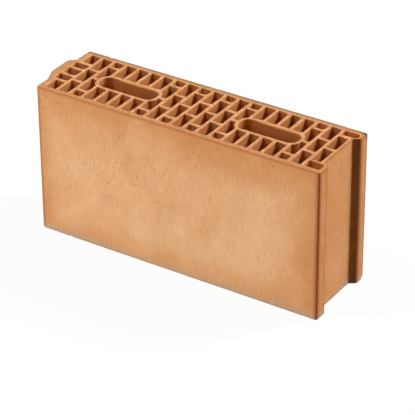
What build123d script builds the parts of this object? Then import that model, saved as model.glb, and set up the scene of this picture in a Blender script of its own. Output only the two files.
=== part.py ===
from build123d import *
import os

# A fired clay partition block with upright perforations, two grip slots,
# a tongue on its left end and a matching groove in its right end.
# The origin is at the middle of the bottom of the block's whole box:
# X runs along the block towards the groove, Y across it to the rear, Z up.
# Sizes are in millimetres.

# Whole block
body_length = 498.0
body_width = 140.0
body_height = 249.0
arris_radius = 2.5

# Outer shells and the webs between the perforations
face_shell = 9.5
end_shell = 12.0
column_web = 4.8
row_web = 4.8
slot_wall = 4.8
groove_wall = 5.5
lip_wall = 4.8

# Groove in the right end, between a front lip and a rear lip
groove_depth = 10.8
front_lip = 24.0
front_lip_slope = 8.5
rear_lip = 20.0
rear_lip_slope = 7.5
groove_radius = 2.0
front_lip_radius = 4.0
rear_lip_radius = 7.0

# Tongue on the left end: how far its flanks lie inside the groove's mouth
tongue_play = 1.0
tongue_front_root = 6.0
tongue_front_tip = 30.0
tongue_rear_root = 15.5
tongue_rear_tip = 22.0
tongue_radius = 4.0

# Columns of perforations between the end columns
first_web = 31.6
column_pitch_sought = 22.7
short_cell = 15.5
cell_radius = 2.0
short_cell_radius = 3.5

# Grip slots, the same number of columns in from each end
slot_length = 102.0
slot_width = 33.0
slot_radius = 14.0
columns_before_slot = 2

# Perforations of the end column behind the tongue
tongue_cell_left = 4.8
tongue_cell_depths = (15.5, 18.5, 14.5)
tongue_cell_web = 5.0
shoulder_web = 5.5

# Perforations of the end column behind the groove
groove_cell = 16.7
lip_cell_end = 7.0

# Places that follow from the sizes above
tongue_depth = groove_depth - tongue_play
left_face = tongue_depth / 2 - body_length / 2
right_face = left_face + body_length
front_face = -body_width / 2
rear_face = front_face + body_width
inner_front = front_face + face_shell
inner_rear = rear_face - face_shell
groove_floor = right_face - groove_depth
mouth_front = front_face + front_lip
mouth_rear = rear_face - rear_lip
floor_front = mouth_front + front_lip_slope
floor_rear = mouth_rear - rear_lip_slope
columns_span = groove_floor - groove_wall - groove_cell - column_web / 2 - left_face - first_web
column_count = round(columns_span / column_pitch_sought)
column_pitch = columns_span / column_count
column_width = column_pitch - column_web
slot_columns = int(slot_length / column_pitch)
full_cell = (inner_rear - inner_front - 2 * row_web) / 3
long_cell = (inner_rear - inner_front - 2 * short_cell - 3 * row_web) / 2
slot_cell = -slot_width / 2 - slot_wall - inner_front
slot_webs = (columns_before_slot + slot_columns / 2,
             column_count - columns_before_slot - slot_columns / 2)


def web_middle(index):
    """Middle of a web along the block; web 0 closes the tongue's column."""
    return left_face + first_web + index * column_pitch


def steps_from_slot(index):
    """Columns from the nearest slot: none for a column that the slot crosses."""
    nearest = min(abs(index - 1 / 2 - web) for web in slot_webs)
    return round(nearest - (slot_columns - 1) / 2)


def cell(left, right, front, rear, radius):
    """One upright perforation with rounded corners, given by its four sides."""
    with Locations(((left + right) / 2, (front + rear) / 2)):
        RectangleRounded(right - left, rear - front, radius)


def full_column(left, right):
    """Three like cells across the block."""
    for row in (-1, 0, 1):
        middle = row * (full_cell + row_web)
        cell(left, right, middle - full_cell / 2, middle + full_cell / 2, cell_radius)


def long_pair(left, right):
    """Two long cells, one each side of the middle row web."""
    cell(left, right, -row_web / 2 - long_cell, -row_web / 2, cell_radius)
    cell(left, right, row_web / 2, row_web / 2 + long_cell, cell_radius)


def staggered_column(left, right):
    """Two long cells with a short cell in front of them and one behind."""
    cell(left, right, inner_front, inner_front + short_cell, short_cell_radius)
    long_pair(left, right)
    cell(left, right, inner_rear - short_cell, inner_rear, short_cell_radius)


def crossed_column(left, right):
    """A cell in front of a grip slot and one behind it."""
    cell(left, right, inner_front, inner_front + slot_cell, cell_radius)
    cell(left, right, inner_rear - slot_cell, inner_rear, cell_radius)


def middle_columns():
    """All the columns between the tongue's and the groove's."""
    for index in range(1, column_count + 1):
        left = web_middle(index - 1) + column_web / 2
        steps = steps_from_slot(index)
        if steps < 1:
            crossed_column(left, left + column_width)
        elif steps % 2 == 0:
            full_column(left, left + column_width)
        else:
            staggered_column(left, left + column_width)


def tongue_column():
    """Cells that run out into the tongue, and one behind each shoulder."""
    right = web_middle(0) - column_web / 2
    shoulder = left_face + end_shell
    row_half = (sum(tongue_cell_depths) + (len(tongue_cell_depths) - 1) * tongue_cell_web) / 2
    cell(shoulder, right, inner_front, -row_half - shoulder_web, cell_radius)
    front = -row_half
    for depth in tongue_cell_depths:
        cell(left_face + tongue_cell_left, right, front, front + depth, short_cell_radius)
        front = front + depth + tongue_cell_web
    cell(shoulder, right, row_half + shoulder_web, inner_rear, cell_radius)


def groove_column():
    """Two cells behind the groove's floor, and one in each of its lips."""
    left = web_middle(column_count) + column_web / 2
    lip_end = right_face - lip_cell_end
    cell(left, lip_end, inner_front, floor_front - lip_wall, short_cell_radius)
    long_pair(left, left + groove_cell)
    cell(left, lip_end, floor_rear + lip_wall, inner_rear, short_cell_radius)


# Outline of the block seen from above, each corner with its radius
corners = (
    (left_face, front_face, arris_radius),
    (right_face, front_face, arris_radius),
    (right_face, mouth_front, front_lip_radius),
    (groove_floor, floor_front, groove_radius),
    (groove_floor, floor_rear, groove_radius),
    (right_face, mouth_rear, rear_lip_radius),
    (right_face, rear_face, arris_radius),
    (left_face, rear_face, arris_radius),
    (left_face, mouth_rear - tongue_rear_root, groove_radius),
    (left_face - tongue_depth, mouth_rear - tongue_rear_tip, tongue_radius),
    (left_face - tongue_depth, mouth_front + tongue_front_tip, tongue_radius),
    (left_face, mouth_front + tongue_front_root, groove_radius),
)
with BuildSketch(Plane.XY) as outline:
    with BuildLine():
        FilletPolyline(
            *[(x, y) for x, y, radius in corners],
            radius=[radius for x, y, radius in corners],
            close=True,
        )
    make_face()

# Every perforation, then the grip slots with a plain wall around each
with BuildSketch(Plane.XY) as perforations:
    middle_columns()
    tongue_column()
    groove_column()
    with Locations(*[(web_middle(web), 0) for web in slot_webs]):
        RectangleRounded(
            slot_length + 2 * slot_wall,
            slot_width + 2 * slot_wall,
            slot_radius + slot_wall,
            mode=Mode.SUBTRACT,
        )
        RectangleRounded(slot_length, slot_width, slot_radius)

# The block is extruded in one piece and fired
with BuildPart() as clay_block:
    add(outline.sketch)
    extrude(amount=body_height)
    add(perforations.sketch)
    extrude(amount=body_height, mode=Mode.SUBTRACT)

clay_block.part.label = "clay_block"
os.makedirs("parts", exist_ok=True)
export_step(clay_block.part, "parts/clay_block.step")
print("solids", len(clay_block.part.solids()), "volume", round(clay_block.part.volume))
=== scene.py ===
import random
from math import ceil, cos, radians, sin, sqrt

import bmesh
import bpy
from mathutils import Matrix, Vector, kdtree, noise


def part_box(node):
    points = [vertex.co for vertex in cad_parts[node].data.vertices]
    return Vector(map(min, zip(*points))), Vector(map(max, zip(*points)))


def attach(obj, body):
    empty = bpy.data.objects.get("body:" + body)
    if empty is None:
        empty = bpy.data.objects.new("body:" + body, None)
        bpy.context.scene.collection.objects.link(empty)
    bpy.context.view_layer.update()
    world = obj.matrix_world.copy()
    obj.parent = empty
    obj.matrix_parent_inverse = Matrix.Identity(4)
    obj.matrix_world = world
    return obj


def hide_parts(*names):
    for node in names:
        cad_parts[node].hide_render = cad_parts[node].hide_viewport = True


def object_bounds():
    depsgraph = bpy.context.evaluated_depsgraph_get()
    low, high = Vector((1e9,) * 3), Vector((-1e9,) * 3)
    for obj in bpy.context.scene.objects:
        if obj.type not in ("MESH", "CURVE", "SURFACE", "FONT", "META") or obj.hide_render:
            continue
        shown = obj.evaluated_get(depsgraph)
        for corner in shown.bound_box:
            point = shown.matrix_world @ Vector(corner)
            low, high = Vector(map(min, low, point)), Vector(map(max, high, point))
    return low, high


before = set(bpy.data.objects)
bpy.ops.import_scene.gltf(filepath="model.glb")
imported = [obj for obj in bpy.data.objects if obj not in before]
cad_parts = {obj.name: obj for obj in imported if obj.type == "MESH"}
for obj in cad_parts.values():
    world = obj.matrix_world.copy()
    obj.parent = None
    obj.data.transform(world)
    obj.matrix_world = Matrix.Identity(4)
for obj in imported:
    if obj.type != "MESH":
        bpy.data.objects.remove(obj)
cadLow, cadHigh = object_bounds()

# A fired clay partition block, standing on its bed face in soft studio light.
# Metres throughout, in the block's own frame: X towards the groove, Y to the rear, Z up.
mm = 0.001


# Node helpers

def addNode(tree, kind, **values):
    # a node with its settings, and its input sockets by name
    node = tree.nodes.new(kind)
    for name, value in values.items():
        if hasattr(node, name):
            setattr(node, name, value)
        else:
            node.inputs[name.replace("_", " ")].default_value = value
    return node


def mathNode(tree, operation, a, b):
    node = addNode(tree, "ShaderNodeMath", operation=operation)
    for socket, value in zip(node.inputs, (a, b)):
        if isinstance(value, (int, float)):
            socket.default_value = value
        else:
            tree.links.new(value, socket)
    return node.outputs[0]


def rangeNode(tree, value, low, high, toLow=0.0, toHigh=1.0):
    # a smooth step from toLow to toHigh as value goes from low to high
    node = addNode(tree, "ShaderNodeMapRange", interpolation_type="SMOOTHSTEP",
                   From_Min=low, From_Max=high, To_Min=toLow, To_Max=toHigh)
    tree.links.new(value, node.inputs["Value"])
    return node.outputs["Result"]


def mixColour(tree, factor, a, b, blend="MIX"):
    # sockets 0, 6 and 7 are the factor and the two colours, and output 2 is the mixed colour
    node = addNode(tree, "ShaderNodeMix", data_type="RGBA", blend_type=blend)
    for socket, value in ((node.inputs[0], factor), (node.inputs[6], a), (node.inputs[7], b)):
        if isinstance(value, (int, float)):
            socket.default_value = value
        elif isinstance(value, tuple):
            socket.default_value = (*value, 1)
        else:
            tree.links.new(value, socket)
    return node.outputs[2]


def noiseNode(tree, vector, stretch, detail=3.0, roughness=0.55, offset=0.0):
    # noise with its own number of patches per metre along X, Y and Z, moved by the offset
    mapping = addNode(tree, "ShaderNodeMapping", Scale=stretch,
                      Location=(offset, offset * 1.7, offset * 0.6))
    tree.links.new(vector, mapping.inputs["Vector"])
    node = addNode(tree, "ShaderNodeTexNoise", noise_dimensions="3D",
                   Scale=1.0, Detail=detail, Roughness=roughness)
    tree.links.new(mapping.outputs[0], node.inputs["Vector"])
    return node.outputs["Fac"]


def pitNode(tree, vector, stretch, share, size, edge):
    # scattered pits: 1 in the middle of a pit, 0 between them; only a share of the cells has one
    mapping = addNode(tree, "ShaderNodeMapping", Scale=stretch)
    tree.links.new(vector, mapping.inputs["Vector"])
    cells = addNode(tree, "ShaderNodeTexVoronoi", feature="F1", Scale=1.0)
    tree.links.new(mapping.outputs[0], cells.inputs["Vector"])
    split = addNode(tree, "ShaderNodeSeparateColor")
    tree.links.new(cells.outputs["Color"], split.inputs[0])
    chosen = mathNode(tree, "LESS_THAN", split.outputs[0], share)
    width = mathNode(tree, "MULTIPLY", split.outputs[1], size)
    inside = mathNode(tree, "SUBTRACT", width, cells.outputs["Distance"])
    dot = rangeNode(tree, inside, 0.0, size * edge)
    return mathNode(tree, "MULTIPLY", chosen, dot)


# Clay finishes

# colours in linear light; stretches are patches per metre along X, Y and Z
# a tint colours the borders of the block: for each side how far in it reaches and how strong it is
extrudedSkin = {
    "clay": (0.705, 0.374, 0.178),
    "paleClay": (0.755, 0.426, 0.218),
    "redClay": (0.620, 0.285, 0.115),
    "dark": (0.200, 0.075, 0.026),
    # colour of the darker arrises: the sharp outer corners, and painted shade along the rims
    "darkEdgeAndRimShade": (0.340, 0.078, 0.009),
    "patches": (11.0, 11.0, 9.0),
    "mottle": (48.0, 48.0, 30.0),
    "mottleDepth": 0.035,
    "grain": (330.0, 330.0, 60.0),
    "grainDepth": 0.065,
    "pits": (240.0, 240.0, 110.0),
    "pitShare": 0.12,
    "pitSize": 0.36,
    "pitDark": 0.30,
    "ticks": (190.0, 190.0, 80.0),
    "tickShare": 0.55,
    "tickSize": 0.34,
    "tickDark": 0.36,
    "bump": 0.5,
    "arrisDark": 0.85,
    "tints": (
        # flashed by the fire
        {"colour": (0.560, 0.225, 0.066), "join": "MAXIMUM", "from": -0.25,
         "left": (0.078, 1.0), "right": (0.090, 1.0), "top": (0.095, 0.95), "bed": (0.065, 0.8)},
        # greyed rear end, then a greyer, darker band along the foot that is painted contact shade
        {"colour": (0.440, 0.275, 0.190), "join": "MINIMUM", "from": -0.25,
         "right": (0.008, 1.0), "rear": (0.014, 1.0)},
        {"colour": (0.480, 0.320, 0.200), "join": "MAXIMUM", "from": -0.10,
         "bed": (0.017, 0.85)},
    ),
}
wireCut = {
    "clay": (0.605, 0.302, 0.143),
    "paleClay": (0.690, 0.392, 0.228),
    "redClay": (0.555, 0.236, 0.093),
    "dark": (0.230, 0.095, 0.038),
    # colour of the darker arrises: painted shade along the rims
    "darkEdgeAndRimShade": (0.300, 0.110, 0.036),
    "patches": (80.0, 65.0, 30.0),
    "mottle": (170.0, 140.0, 120.0),
    "mottleDepth": 0.22,
    "grain": (560.0, 120.0, 560.0),
    "grainDepth": 0.14,
    "pits": (330.0, 260.0, 330.0),
    "pitShare": 0.16,
    "pitSize": 0.40,
    "pitDark": 0.45,
    "ticks": (210.0, 150.0, 210.0),
    "tickShare": 0.30,
    "tickSize": 0.30,
    "tickDark": 0.40,
    "bump": 0.7,
    "arrisDark": 0.60,
    "tints": (
        # the outer shell, then the greyed rear edge
        {"colour": (0.545, 0.235, 0.086), "join": "MAXIMUM", "from": 0.35,
         "left": (0.026, 0.8), "right": (0.020, 0.8), "rear": (0.013, 0.8), "front": (0.0125, 0.95)},
        {"colour": (0.245, 0.150, 0.082), "join": "MAXIMUM", "from": 0.0,
         "rear": (0.0085, 1.0)},
    ),
}
cellWallWithDepthShade = {
    # these colours are darkened as painted shade of the cells' depths
    "clay": (0.510, 0.192, 0.054),
    "paleClay": (0.560, 0.230, 0.075),
    "redClay": (0.450, 0.152, 0.040),
    "dark": (0.160, 0.055, 0.016),
    "darkEdgeAndRimShade": (0.160, 0.055, 0.016),
    "patches": (20.0, 20.0, 9.0),
    "mottle": (60.0, 60.0, 30.0),
    "mottleDepth": 0.07,
    "grain": (420.0, 420.0, 60.0),
    "grainDepth": 0.09,
    "pits": (270.0, 270.0, 120.0),
    "pitShare": 0.06,
    "pitSize": 0.36,
    "pitDark": 0.4,
    "ticks": (150.0, 150.0, 60.0),
    "tickShare": 0.15,
    "tickSize": 0.30,
    "tickDark": 0.30,
    "bump": 0.5,
    "arrisDark": 0.0,
    "tints": (
        # painted shade: the walls are darker down in the cells, paler near the mouths
        {"colour": (0.680, 0.295, 0.096), "join": "MAXIMUM", "from": 0.15,
         "top": (0.025, 0.9), "bed": (0.025, 0.9)},
    ),
}
# what the three finishes share
allClay = {
    "paleNoise": (0.42, 0.66),   # where in the noise the paler clay starts and is full
    "paleShare": 0.75,
    "redNoise": (0.50, 0.75),
    "redShare": 0.65,
    "shadeNoise": (0.3, 0.7),    # part of the noise that a shade spreads over
    "crowds": (16.0, 16.0, 12.0),
    "crowdNoise": (0.46, 0.64),
    "pitEdge": 0.35,             # share of a pit's size over which it fades
    "ragged": (15.0, 15.0, 15.0),
    "sand": (1300.0, 1300.0, 1300.0),
    "grainHeight": 0.5,
    "sandHeight": 0.35,
    "pitHeight": 0.8,
    "bumpDistance": 0.35 * mm,
    "roughness": (0.84, 0.95),
    "specular": 0.30,
    # the corner that the kiln burnt
    "burnt": {"colour": (0.085, 0.066, 0.030), "join": "MINIMUM", "from": 0.5,
              "right": (0.009, 1.0), "rear": (0.009, 1.0), "top": (0.009, 1.0)},
}


def sidesNode(tree, place, tint, low, high):
    # 1 at the borders that a tint names, 0 further in than their widths, with ragged edges
    split = addNode(tree, "ShaderNodeSeparateXYZ")
    tree.links.new(place, split.inputs[0])
    x, y, z = split.outputs
    distances = {"left": (x, low.x), "right": (high.x, x), "front": (y, low.y),
                 "rear": (high.y, y), "top": (high.z, z), "bed": (z, low.z)}
    ragged = mathNode(tree, "SUBTRACT", noiseNode(tree, place, allClay["ragged"], offset=4.4), 0.5)
    joined = 0.0 if tint["join"] == "MAXIMUM" else 1.0
    for side, (far, near) in distances.items():
        if side in tint:
            width, share = tint[side]
            distance = mathNode(tree, "SUBTRACT", far, near)
            inside = mathNode(tree, "ADD", distance, mathNode(tree, "MULTIPLY", ragged, width))
            border = rangeNode(tree, inside, tint["from"] * width, width, share, 0.0)
            joined = mathNode(tree, tint["join"], border, joined)
    return joined


def tinted(tree, place, colour, tint):
    return mixColour(tree, sidesNode(tree, place, tint, cadLow, cadHigh), colour, tint["colour"])


def shaded(tree, colour, factor, depth):
    # the colour made lighter or darker by up to the depth
    shade = rangeNode(tree, factor, *allClay["shadeNoise"], 1 - depth, 1 + depth)
    grey = addNode(tree, "ShaderNodeCombineColor")
    for socket in grey.inputs[:3]:
        tree.links.new(shade, socket)
    return mixColour(tree, 1.0, colour, grey.outputs[0], "MULTIPLY")


def blended(tree, colour, other, factor, share):
    # the other colour over this one, by a share of the factor
    return mixColour(tree, mathNode(tree, "MULTIPLY", factor, share), colour, other)


def clayMaterial(name, look):
    material = bpy.data.materials.new(name)
    material.use_nodes = True
    tree = material.node_tree
    shader = tree.nodes["Principled BSDF"]
    place = addNode(tree, "ShaderNodeTexCoord").outputs["Object"]

    # broad patches of paler and redder clay, finer mottling over them, then the borders
    pale = noiseNode(tree, place, look["patches"], detail=2.0)
    red = noiseNode(tree, place, look["patches"], offset=7.3)
    mottle = noiseNode(tree, place, look["mottle"], detail=4.0, roughness=0.6, offset=2.7)
    pale = rangeNode(tree, pale, *allClay["paleNoise"])
    red = rangeNode(tree, red, *allClay["redNoise"])
    colour = blended(tree, look["clay"], look["paleClay"], pale, allClay["paleShare"])
    colour = blended(tree, colour, look["redClay"], red, allClay["redShare"])
    colour = shaded(tree, colour, mottle, look["mottleDepth"])
    # some tints are painted shade: the skin's band along the foot and the cells' darker depths
    for tint in look["tints"]:
        colour = tinted(tree, place, colour, tint)

    # drag grain along the way that the clay moved
    grain = noiseNode(tree, place, look["grain"], detail=4.0, roughness=0.62)
    colour = shaded(tree, colour, grain, look["grainDepth"])

    # small dark pits, and longer ticks crowded together in some places
    pits = pitNode(tree, place, look["pits"], look["pitShare"], look["pitSize"], allClay["pitEdge"])
    colour = blended(tree, colour, look["dark"], pits, look["pitDark"])
    ticks = pitNode(tree, place, look["ticks"], look["tickShare"], look["tickSize"], allClay["pitEdge"])
    crowd = noiseNode(tree, place, allClay["crowds"], detail=2.0, offset=9.1)
    ticks = mathNode(tree, "MULTIPLY", ticks, rangeNode(tree, crowd, *allClay["crowdNoise"]))
    colour = blended(tree, colour, look["dark"], ticks, look["tickDark"])

    # the arrises darker than the faces: at the sharp outer corners, and along the top and bed rims as
    # painted shade; then one corner burnt
    arris = addNode(tree, "ShaderNodeAttribute", attribute_name="arris").outputs["Fac"]
    colour = blended(tree, colour, look["darkEdgeAndRimShade"], arris, look["arrisDark"])
    colour = tinted(tree, place, colour, allClay["burnt"])
    tree.links.new(colour, shader.inputs["Base Color"])

    # relief too fine for the mesh
    sand = noiseNode(tree, place, allClay["sand"], detail=2.0, roughness=0.6, offset=1.9)
    raised = mathNode(tree, "MULTIPLY", grain, allClay["grainHeight"])
    raised = mathNode(tree, "ADD", raised, mathNode(tree, "MULTIPLY", sand, allClay["sandHeight"]))
    raised = mathNode(tree, "SUBTRACT", raised, mathNode(tree, "MULTIPLY", pits, allClay["pitHeight"]))
    raised = mathNode(tree, "SUBTRACT", raised, ticks)
    bump = addNode(tree, "ShaderNodeBump", Strength=look["bump"], Distance=allClay["bumpDistance"])
    tree.links.new(raised, bump.inputs["Height"])
    tree.links.new(bump.outputs[0], shader.inputs["Normal"])

    rough = rangeNode(tree, mottle, *allClay["shadeNoise"], *allClay["roughness"])
    tree.links.new(rough, shader.inputs["Roughness"])
    shader.inputs["Specular IOR Level"].default_value = allClay["specular"]
    return material


# The block

# material slots of the block's mesh
skinSlot, cutSlot, cellSlot = 0, 1, 2

# a noise is a list of layers, each with its patches per metre and its share
clayBlock = {
    "seed": 11,
    "weld": 0.01 * mm,           # points of the solid's mesh closer than this are one
    "level": 0.0001 * mm,        # faces this close to a height lie on it
    "skinStep": 1.9 * mm,        # along the outer rim
    "cellStep": 3.6 * mm,        # along the rims of the cells and slots
    "cellMerge": 0.6 * mm,       # points of those rims closer than this become one
    "skinRows": [0, 0.08, 0.25, 0.6, 1.1, 1.8, 3, 5, 8],    # below either cut face, in mm
    "cellRows": [0, 0.1, 0.35, 0.9, 2, 5, 14, 40],
    "skinRowStep": 13 * mm,      # between the close rows
    "cellRowStep": 160 * mm,
    "cutStep": 6 * mm,           # longest edge inside a cut face
    "rimStrip": 1.4 * mm,        # strip of a cut face along the outer rim
    "stripNarrowed": 0.8,        # share that the strip loses at a sharp corner
    "cornerBend": 400,           # bend per metre of a fully sharp corner
    "cornerBendLeast": 100,      # and of the bluntest that counts
    "cornerFade": 6.0 * mm,
    "cornerWear": 0.5 * mm,
    "rimFade": 4.5 * mm,
    "rimPaintedShade": (0.75, 0.4),      # painted shade along the top face and along the bed face
    "skinArris": 0.7 * mm,
    "cellArris": 1.0 * mm,
    "arrisNoise": [(70, 0.55), (260, 0.35)],
    "tornPatches": 33,           # stretches where the arrises are torn further back
    "tornOffset": (5, 1, 2),
    "tornFrom": 0.30,
    "tornShare": 3.5,
    "mostWorn": 2.0,             # times the arris's own radius
    "cornerSpared": 1.3,         # less of it at a sharp corner
    "cutRelief": 0.22 * mm,
    "cutNoise": [(45, 0.5), (160, 0.3)],
    "reliefDepth": 5 * mm,       # how far below a cut face its unevenness reaches
    "bow": 0.45 * mm,
    "bowPatches": 4,
    "dieLines": 0.10 * mm,
    "dieStretch": (110, 110, 5),
    "dieLevel": 0.6,             # the lower, the fewer lines
    "webWave": 0.6 * mm,
    "waveNoise": [(38, 1.0), (120, 0.5)],
    "waveFall": 0.15,            # how fast the wave changes down a cell, beside along its rim
    "roomReach": 12 * mm,        # how far off the next rim is looked for
    "cellRoom": 0.42,            # share of the clay up to the next rim that a cell's wear may take
    "skinRoom": 0.25,            # and the outer skin's wear
    "stripRoom": 0.25,           # and the strip
    "chipCount": 70,
    "chipRadius": (2.5 * mm, 6.5 * mm),
    "chipDepth": (0.5 * mm, 1.5 * mm),
    "chipDepthShare": (0.4, 1.0),
    "chipLift": (0.4, 1.6),      # how steeply a chip leans out over its arris
    "chipRoughness": 0.12,
    "chipPatches": 420,
    "chipReach": 1.2,            # times its radius, how far off a chip looks for points
    "frontLeft": -244.1 * mm,    # where the front face begins, behind the tongue
    "frontChip": -190 * mm,      # the chip along its lower edge
    "sharpAngle": radians(35),
}


def fade(value, end):
    return max(0.0, 1.0 - value / end)


def layered(place, layers):
    return sum(share * noise.noise(place * patches) for patches, share in layers)


def copiedRims(node, weld):
    # top rims of the block and of its cells as bare edges, each knowing which side of it is clay
    bm = bmesh.new()
    bm.from_mesh(node.data)
    bmesh.ops.remove_doubles(bm, verts=bm.verts, dist=weld)
    clayward = bm.edges.layers.float_vector.new("clayward")
    rim = set()
    for edge in bm.edges:
        flat = [loop for loop in edge.link_loops if loop.face.normal.z > 0.9]
        if len(flat) == 1 and len(edge.link_loops) == 2:
            along = flat[0].link_loop_next.vert.co - flat[0].vert.co
            edge[clayward] = Vector((-along.y, along.x, 0)).normalized()
            rim.add(edge)
    bmesh.ops.delete(bm, geom=bm.faces[:], context="FACES_ONLY")
    bmesh.ops.delete(bm, geom=[edge for edge in bm.edges if edge not in rim], context="EDGES")
    bmesh.ops.delete(bm, geom=[vert for vert in bm.verts if not vert.link_edges], context="VERTS")
    return bm


def loopFrom(vert):
    # every vertex joined to this one
    found = {vert}
    waiting = [vert]
    while waiting:
        for edge in waiting.pop().link_edges:
            for other in edge.verts:
                if other not in found:
                    found.add(other)
                    waiting.append(other)
    return found


def outerPoints(bm):
    # the outer rim's points, found from the one furthest left
    return loopFrom(min(bm.verts, key=lambda vert: vert.co.x))


def splitRims(bm):
    # the outer rim's points, its edges, and the edges of the cells' rims
    outer = outerPoints(bm)
    skinRim = [edge for edge in bm.edges if edge.verts[0] in outer]
    cellRim = [edge for edge in bm.edges if edge.verts[0] not in outer]
    return outer, skinRim, cellRim


def subdivideTo(bm, edges, step):
    # cuts each edge into pieces no longer than the step
    cuts = {}
    for edge in edges:
        count = ceil(edge.calc_length() / step) - 1
        if count > 0:
            cuts.setdefault(count, []).append(edge)
    for count, group in cuts.items():
        bmesh.ops.subdivide_edges(bm, edges=group, cuts=count)


def evenRims(bm, shape):
    # points close enough along every rim, and not too close round the cells
    outer = outerPoints(bm)
    inner = [vert for vert in bm.verts if vert not in outer]
    bmesh.ops.remove_doubles(bm, verts=inner, dist=shape["cellMerge"])
    _, skinRim, cellRim = splitRims(bm)
    subdivideTo(bm, skinRim, shape["skinStep"])
    subdivideTo(bm, cellRim, shape["cellStep"])
    return splitRims(bm)


def markCorners(bm, rim, shape):
    # corner is 1 on the sharpest convex corners of a rim and fades out beside them
    clayward = bm.verts.layers.float_vector["clayward"]
    corner = bm.verts.layers.float["corner"]
    corners = []
    for vert in rim:
        before, after = [edge.other_vert(vert) for edge in vert.link_edges]
        turn = before[clayward].angle(after[clayward], 0)
        bend = turn / (before.co - after.co).length
        convex = (before.co + after.co - 2 * vert.co).dot(vert[clayward]) > 0
        if convex and bend > shape["cornerBendLeast"]:
            corners.append((vert.co, min(1.0, bend / shape["cornerBend"])))
    for vert in rim:
        for place, value in corners:
            nearness = value * fade((vert.co - place).length, shape["cornerFade"])
            vert[corner] = max(vert[corner], nearness)


def measureRoom(bm, reach):
    # room is how much clay lies between a rim point and the nearest other rim, up to the reach
    room = bm.verts.layers.float["room"]
    verts = list(bm.verts)
    tree = kdtree.KDTree(len(verts))
    rimOf = {}
    for index, vert in enumerate(verts):
        tree.insert(vert.co, index)
        if vert not in rimOf:
            rimOf.update(dict.fromkeys(loopFrom(vert), index))
    tree.balance()
    for vert in verts:
        vert[room] = reach
        for _, index, _ in tree.find_range(vert.co, reach):
            if rimOf[verts[index]] != rimOf[vert]:
                for edge in verts[index].link_edges:
                    start, end = (point.co for point in edge.verts)
                    along = (vert.co - start).dot(end - start) / (end - start).length_squared
                    nearest = start.lerp(end, min(1.0, max(0.0, along)))
                    vert[room] = min(vert[room], (vert.co - nearest).length)


def rowDepths(near, step, height):
    # depths of the rows below the top face, close together near both cut faces
    near = [depth * mm for depth in near]
    middle = height - 2 * near[-1]
    count = max(1, ceil(middle / step))
    between = [near[-1] + middle * k / count for k in range(1, count)]
    return near[1:] + between + [height - depth for depth in reversed(near)]


def extruded(bm, edges, slot):
    # extrudes edges in place; returns the new points and the new edges between them
    made = bmesh.ops.extrude_edge_only(bm, edges=edges)["geom"]
    verts = {item for item in made if isinstance(item, bmesh.types.BMVert)}
    for item in made:
        if isinstance(item, bmesh.types.BMFace):
            item.material_index = slot
    edges = [item for item in made if isinstance(item, bmesh.types.BMEdge)]
    return verts, [edge for edge in edges if verts.issuperset(edge.verts)]


def pullDown(bm, edges, depths, top, slot):
    # draws a rim down to the bed face row by row and returns its lowest edges
    for depth in depths:
        verts, edges = extruded(bm, edges, slot)
        for vert in verts:
            vert.co.z = top - depth
    return edges


def stripInside(bm, rim, shape):
    # a narrow strip of the cut face along a rim, narrower at sharp corners; returns its inner edges
    clayward = bm.verts.layers.float_vector["clayward"]
    corner = bm.verts.layers.float["corner"]
    room = bm.verts.layers.float["room"]
    verts, edges = extruded(bm, rim, cutSlot)
    for vert in verts:
        width = shape["rimStrip"] * (1 - shape["stripNarrowed"] * vert[corner])
        vert.co += vert[clayward] * min(width, shape["stripRoom"] * vert[room])
    return edges


def innerEdges(faces, border):
    # the faces' edges that are not on the border, each once and in a fixed order
    return list(dict.fromkeys(edge for face in faces for edge in face.edges if edge not in border))


def liesAt(face, height, slack):
    return all(abs(vert.co.z - height) < slack for vert in face.verts)


def fillCutFace(bm, rim, shape):
    # closes a cut face round its holes, with points inside it too
    made = bmesh.ops.triangle_fill(bm, edges=rim, use_beauty=True, use_dissolve=False, normal=(0, 0, 1))
    faces = [item for item in made["geom"] if isinstance(item, bmesh.types.BMFace)]
    height = rim[0].verts[0].co.z
    border = set(rim)
    long = [edge for edge in innerEdges(faces, border) if edge.calc_length() > shape["cutStep"]]
    bmesh.ops.subdivide_edges(bm, edges=long, cuts=1)
    level = [face for face in bm.faces if liesAt(face, height, shape["level"])]
    flat = [face for face in level if face.material_index != cutSlot]
    flat = bmesh.ops.triangulate(bm, faces=flat)["faces"]
    bmesh.ops.beautify_fill(bm, faces=flat, edges=innerEdges(flat, border))
    for face in bm.faces:
        if liesAt(face, height, shape["level"]):
            face.material_index = cutSlot


def vertsOf(bm, slot):
    return {vert for face in bm.faces if face.material_index == slot for vert in face.verts}


def markArrises(bm, low, high, shape):
    # arris tells the finish where it is darker: on the sharp corners, and along both cut faces as painted
    # shade
    corner = bm.verts.layers.float["corner"]
    arris = bm.verts.layers.float["arris"]
    topDark, bedDark = shape["rimPaintedShade"]
    for vert in vertsOf(bm, skinSlot):
        top = topDark * fade(high.z - vert.co.z, shape["rimFade"])
        bed = bedDark * fade(vert.co.z - low.z, shape["rimFade"])
        vert[arris] = max(vert[corner], top, bed)


def standBack(depth, radius):
    # how far a rounded arris stands back from the wall, at a depth below the cut face
    if depth >= radius:
        return 0.0
    return radius - sqrt(radius ** 2 - (radius - depth) ** 2)


def cellBack(place, depth, worn, shape):
    # how far back into the clay the wall of a cell stands
    back = standBack(depth, shape["cellArris"] * worn)
    plan = Vector((place.x, place.y, place.z * shape["waveFall"]))
    return back + shape["webWave"] * layered(plan, shape["waveNoise"])


def skinBack(place, depth, worn, sharpness, shape):
    # the same for the outer skin, which also bows and has fine lines from the die
    back = standBack(depth, shape["skinArris"] * worn)
    back += shape["bow"] * (0.5 + 0.5 * noise.noise(place * shape["bowPatches"]))
    back += shape["cornerWear"] * sharpness ** 2
    line = noise.noise(place * Vector(shape["dieStretch"]))
    return back + shape["dieLines"] * max(0.0, shape["dieLevel"] + line)


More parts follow.
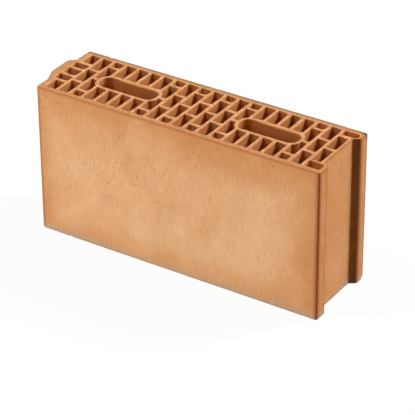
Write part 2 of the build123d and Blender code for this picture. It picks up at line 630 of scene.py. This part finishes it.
def wear(bm, low, high, shape):
    # rounds the arrises and makes the faces as uneven as fired clay, always into the clay
    clayward = bm.verts.layers.float_vector["clayward"]
    corner = bm.verts.layers.float["corner"]
    room = bm.verts.layers.float["room"]
    cellVerts = vertsOf(bm, cellSlot)
    for vert in bm.verts:
        place = vert.co.copy()
        depth = min(high.z - place.z, place.z - low.z)
        relief = shape["cutRelief"] * max(0.0, 0.5 + layered(place, shape["cutNoise"]))
        relief *= fade(depth, shape["reliefDepth"])
        vert.co.z += -relief if place.z > high.z / 2 else relief
        if vert[clayward].length < 0.5:
            continue    # inside a cut face
        torn = noise.noise(place * shape["tornPatches"] + Vector(shape["tornOffset"]))
        worn = 1.0 + layered(place, shape["arrisNoise"])
        worn += shape["tornShare"] * max(0.0, torn - shape["tornFrom"])
        worn = min(worn, shape["mostWorn"] - shape["cornerSpared"] * vert[corner])
        if vert in cellVerts:
            back = min(cellBack(place, depth, worn, shape), shape["cellRoom"] * vert[room])
        else:
            back = min(skinBack(place, depth, worn, vert[corner], shape), shape["skinRoom"] * vert[room])
        vert.co += vert[clayward] * back


def chipAt(place, out, radius, depth):
    # a ball whose middle lies outward of the place, so that it cuts that deep into the clay there
    return place + out.normalized() * (radius - depth), radius


def scatteredChips(rimPoints, low, high, shape, dice):
    # small chips here and there along the outer arrises of both cut faces
    chips = []
    for _ in range(shape["chipCount"]):
        place, into = dice.choice(rimPoints)
        top = dice.random() < 0.5
        spot = Vector((place.x, place.y, high.z if top else low.z))
        lift = dice.uniform(*shape["chipLift"]) * (1 if top else -1)
        radius = dice.uniform(*shape["chipRadius"])
        depth = dice.uniform(*shape["chipDepth"]) * dice.uniform(*shape["chipDepthShare"])
        chips.append(chipAt(spot, Vector((-into.x, -into.y, lift)), radius, depth))
    return chips


def cornerChips(low, high, shape):
    # the chips that show on the block's corners and lower edge
    return [
        chipAt(Vector((shape["frontLeft"], low.y, low.z)), Vector((-1, -1, -1)), 7 * mm, 3.2 * mm),
        chipAt(Vector((shape["frontChip"], low.y, low.z)), Vector((0.2, -1, -0.8)), 3.5 * mm, 2.0 * mm),
        chipAt(Vector((high.x, high.y, high.z)), Vector((1, 0.6, 1)), 5 * mm, 2.4 * mm),
        chipAt(Vector((high.x, high.y, low.z)), Vector((1, 0.3, -0.8)), 11 * mm, 5.0 * mm),
    ]


def carveChips(bm, chips, shape):
    # each chip is a scoop: points inside its ball move out to the ball's surface
    verts = list(bm.verts)
    tree = kdtree.KDTree(len(verts))
    for index, vert in enumerate(verts):
        tree.insert(vert.co, index)
    tree.balance()
    roughness = shape["chipRoughness"]
    for centre, radius in chips:
        for _, index, _ in tree.find_range(centre, radius * shape["chipReach"]):
            away = verts[index].co - centre
            rough = radius * (1 + roughness * noise.noise(verts[index].co * shape["chipPatches"]))
            if 0 < away.length < rough:
                verts[index].co = centre + away.normalized() * rough


def shadeSmooth(bm, sharpAngle):
    # smooth faces, with sharp edges between finishes and at steep bends
    for face in bm.faces:
        face.smooth = True
    for edge in bm.edges:
        slots = {face.material_index for face in edge.link_faces}
        edge.smooth = len(slots) == 1 and edge.calc_face_angle(0) < sharpAngle


def buildClayBlock(node, shape):
    low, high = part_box(node.name)
    dice = random.Random(shape["seed"])
    bm = copiedRims(node, shape["weld"])
    clayward = bm.verts.layers.float_vector.new("clayward")
    for name in ("corner", "arris", "room"):
        bm.verts.layers.float.new(name)
    outer, skinRim, cellRim = evenRims(bm, shape)
    print("rims:", len(skinRim), "outer edges,", len(cellRim), "cell edges")

    sideOf = bm.edges.layers.float_vector["clayward"]
    for vert in bm.verts:
        vert[clayward] = sum((edge[sideOf] for edge in vert.link_edges), Vector()).normalized()
    markCorners(bm, outer, shape)
    measureRoom(bm, shape["roomReach"])
    rimPoints = [(vert.co.copy(), vert[clayward].copy()) for vert in bm.verts if vert in outer]

    height = high.z - low.z
    skinDepths = rowDepths(shape["skinRows"], shape["skinRowStep"], height)
    cellDepths = rowDepths(shape["cellRows"], shape["cellRowStep"], height)
    skinFoot = pullDown(bm, skinRim, skinDepths, high.z, skinSlot)
    cellFoot = pullDown(bm, cellRim, cellDepths, high.z, cellSlot)
    print("walls:", len(bm.faces), "faces")
    topStrip = stripInside(bm, skinRim, shape)
    bedStrip = stripInside(bm, skinFoot, shape)
    fillCutFace(bm, topStrip + cellRim, shape)
    fillCutFace(bm, bedStrip + cellFoot, shape)
    bmesh.ops.recalc_face_normals(bm, faces=bm.faces)
    openEdges = sum(1 for edge in bm.edges if len(edge.link_faces) != 2)
    print("closed:", len(bm.faces), "faces,", openEdges, "open edges")

    markArrises(bm, low, high, shape)
    wear(bm, low, high, shape)
    chips = scatteredChips(rimPoints, low, high, shape, dice) + cornerChips(low, high, shape)
    carveChips(bm, chips, shape)
    shadeSmooth(bm, shape["sharpAngle"])
    mesh = bpy.data.meshes.new("clayBlockDetailed")
    bm.to_mesh(mesh)
    bm.free()
    block = bpy.data.objects.new("clay_block_detailed", mesh)
    bpy.context.scene.collection.objects.link(block)
    print("block:", sum(len(polygon.vertices) - 2 for polygon in mesh.polygons), "triangles")
    return block


block = buildClayBlock(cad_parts["clay_block"], clayBlock)
for finish, look in (("extruded_skin", extrudedSkin), ("wire_cut_face", wireCut), ("cell_wall", cellWallWithDepthShade)):
    block.data.materials.append(clayMaterial(finish, look))
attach(block, "root")
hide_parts("clay_block")


# Floor, lamps and world

studio = {
    "floorSize": 12.0,
    "floorWhite": 0.93,          # share of the floor's look that no shadow reaches
    "floorSeen": (0.95, 0.95, 0.95),
    "floorBounce": (0.08, 0.08, 0.08),
    "worldLight": 0.02,
}
# the strips stand low, so that they light the sides and not the insides of the cells
softbox = {"distance": 5, "width": 1.7, "height": 1.7}
strip = {"distance": 9, "width": 3.2, "height": 0.9}
lampAim = (0, 0, 0.12)
lamps = {
    "high_softbox": {**softbox, "azimuth": 140, "elevation": 43.7, "watts": 237},
    "fill_softbox": {**softbox, "azimuth": -55, "elevation": 58, "watts": 120},
    "front_strip": {**strip, "azimuth": -40, "elevation": 3.5, "watts": 905},
    "end_strip": {**strip, "azimuth": 127, "elevation": 3.5, "watts": 537},
}


def backWards(azimuth, elevation):
    # unit vector from the block towards a place that far round and up
    a = radians(azimuth)
    e = radians(elevation)
    return Vector((sin(a) * cos(e), -cos(a) * cos(e), sin(e)))


def floorMaterial(look):
    material = bpy.data.materials.new("pale_floor")
    material.use_nodes = True
    tree = material.node_tree
    tree.nodes.clear()
    path = addNode(tree, "ShaderNodeLightPath").outputs["Is Camera Ray"]
    seen = addNode(tree, "ShaderNodeBsdfDiffuse", Color=(*look["floorSeen"], 1))
    white = addNode(tree, "ShaderNodeEmission", Color=(1, 1, 1, 1), Strength=1.0)
    bounce = addNode(tree, "ShaderNodeBsdfDiffuse", Color=(*look["floorBounce"], 1))
    clear = addNode(tree, "ShaderNodeBsdfTransparent")
    side = addNode(tree, "ShaderNodeNewGeometry").outputs["Backfacing"]
    output = addNode(tree, "ShaderNodeOutputMaterial")

    def mixed(factor, first, second):
        node = addNode(tree, "ShaderNodeMixShader")
        if isinstance(factor, float):
            node.inputs[0].default_value = factor
        else:
            tree.links.new(factor, node.inputs[0])
        tree.links.new(first.outputs[0], node.inputs[1])
        tree.links.new(second.outputs[0], node.inputs[2])
        return node

    pale = mixed(look["floorWhite"], seen, white)
    top = mixed(path, bounce, pale)
    tree.links.new(mixed(side, top, clear).outputs[0], output.inputs["Surface"])
    return material


def layFloor(look):
    bm = bmesh.new()
    bmesh.ops.create_grid(bm, x_segments=1, y_segments=1, size=look["floorSize"] / 2)
    mesh = bpy.data.meshes.new("floor")
    bm.to_mesh(mesh)
    bm.free()
    mesh.materials.append(floorMaterial(look))
    floor = bpy.data.objects.new("floor", mesh)
    bpy.context.scene.collection.objects.link(floor)


def hangLamp(name, lamp):
    data = bpy.data.lights.new(name, "AREA")
    data.shape = "RECTANGLE"
    data.size = lamp["width"]
    data.size_y = lamp["height"]
    data.energy = lamp["watts"]
    place = bpy.data.objects.new(name, data)
    towards = backWards(lamp["azimuth"], lamp["elevation"])
    place.location = Vector(lampAim) + towards * lamp["distance"]
    place.rotation_euler = towards.to_track_quat("Z", "Y").to_euler()
    place.visible_camera = False
    bpy.context.scene.collection.objects.link(place)


def lightWorld(strength):
    world = bpy.data.worlds.new("studio")
    bpy.context.scene.world = world
    world.use_nodes = True
    tree = world.node_tree
    tree.nodes.clear()
    path = addNode(tree, "ShaderNodeLightPath").outputs["Is Camera Ray"]
    air = addNode(tree, "ShaderNodeBackground", Color=(1, 1, 1, 1), Strength=strength)
    white = addNode(tree, "ShaderNodeBackground", Color=(1, 1, 1, 1), Strength=1.0)
    mix = addNode(tree, "ShaderNodeMixShader")
    output = addNode(tree, "ShaderNodeOutputWorld")
    tree.links.new(path, mix.inputs[0])
    tree.links.new(air.outputs[0], mix.inputs[1])
    tree.links.new(white.outputs[0], mix.inputs[2])
    tree.links.new(mix.outputs[0], output.inputs["Surface"])


layFloor(studio)
for name, lamp in lamps.items():
    hangLamp(name, lamp)
lightWorld(studio["worldLight"])
print("studio: floor,", len(lamps), "lamps and world")


# Camera

photoView = {
    "target": (0.052, -0.051, 0.120),
    "azimuth": 32.99,
    "elevation": 30.79,
    "distance": 3.373,
    "roll": -0.36,
    "lens": 196.6,
    "sensor": 36,
}


def placeCamera(look):
    data = bpy.data.cameras.new("photoView")
    data.lens = look["lens"]
    data.sensor_width = look["sensor"]
    camera = bpy.data.objects.new("photoView", data)
    away = backWards(look["azimuth"], look["elevation"])
    camera.location = Vector(look["target"]) + away * look["distance"]
    turned = away.to_track_quat("Z", "Y").to_matrix().to_4x4()
    camera.rotation_euler = (turned @ Matrix.Rotation(radians(look["roll"]), 4, "Z")).to_euler()
    bpy.context.scene.collection.objects.link(camera)
    bpy.context.scene.camera = camera


placeCamera(photoView)
bpy.context.scene.view_settings.view_transform = "Standard"
print("camera at the photograph's angle")
